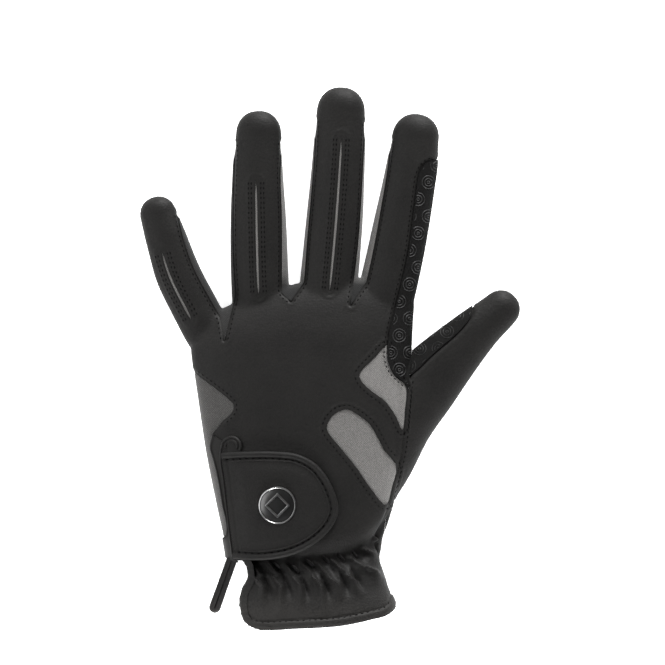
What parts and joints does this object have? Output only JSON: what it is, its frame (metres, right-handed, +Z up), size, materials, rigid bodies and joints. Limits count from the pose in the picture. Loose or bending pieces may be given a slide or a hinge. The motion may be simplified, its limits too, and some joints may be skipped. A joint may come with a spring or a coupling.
{
  "type": "horse riding glove",
  "caption": "Left riding glove in black synthetic leather with grey stretch insets, grip patches, elastic wrist, closure strap with round badge, pull loop and flared cuff",
  "frame": {"origin": "on the flat underside of the palm, below the middle of the hand", "axes": "+Y to the fingertips, +X to the thumb, +Z up through the back of the hand"},
  "size_m": [0.1678, 0.2402, 0.0384],
  "materials": {
    "leather_back": "fine pebble grain, soft sheen",
    "leather_palm": "fine suede-like grain, matt",
    "leather_strap": "smooth fine grain, matt",
    "stretch_fabric": "grey knitted stretch fabric",
    "fourchette_fabric": "dark grey stretch fabric",
    "grip_print": "suede-like leather with a raised glossy grip print",
    "badge_rim": "polished",
    "badge_face": "high gloss black"
  },
  "bodies": {
    "root": {"back_panel": "leather_back", "palm_panel": "leather_palm", "thumb": "leather_back", "fourchette_little_ring": "fourchette_fabric", "fourchette_ring_middle": "fourchette_fabric", "fourchette_middle_index": "fourchette_fabric", "slit_inset_little": "stretch_fabric", "slit_inset_ring": "stretch_fabric", "slit_inset_middle": "stretch_fabric", "index_grip_patch": "grip_print", "thumb_grip_patch": "grip_print", "stretch_window_upper": "stretch_fabric", "stretch_window_lower": "stretch_fabric", "stretch_panel_side": "stretch_fabric", "wrist_strap": "leather_strap", "strap_badge_rim": "badge_rim", "strap_badge": "badge_face", "slit_facing": "leather_back", "opening_binding": "leather_back", "cuff_binding": "leather_back", "pull_loop": "leather_back"}
  },
  "joints": []
}
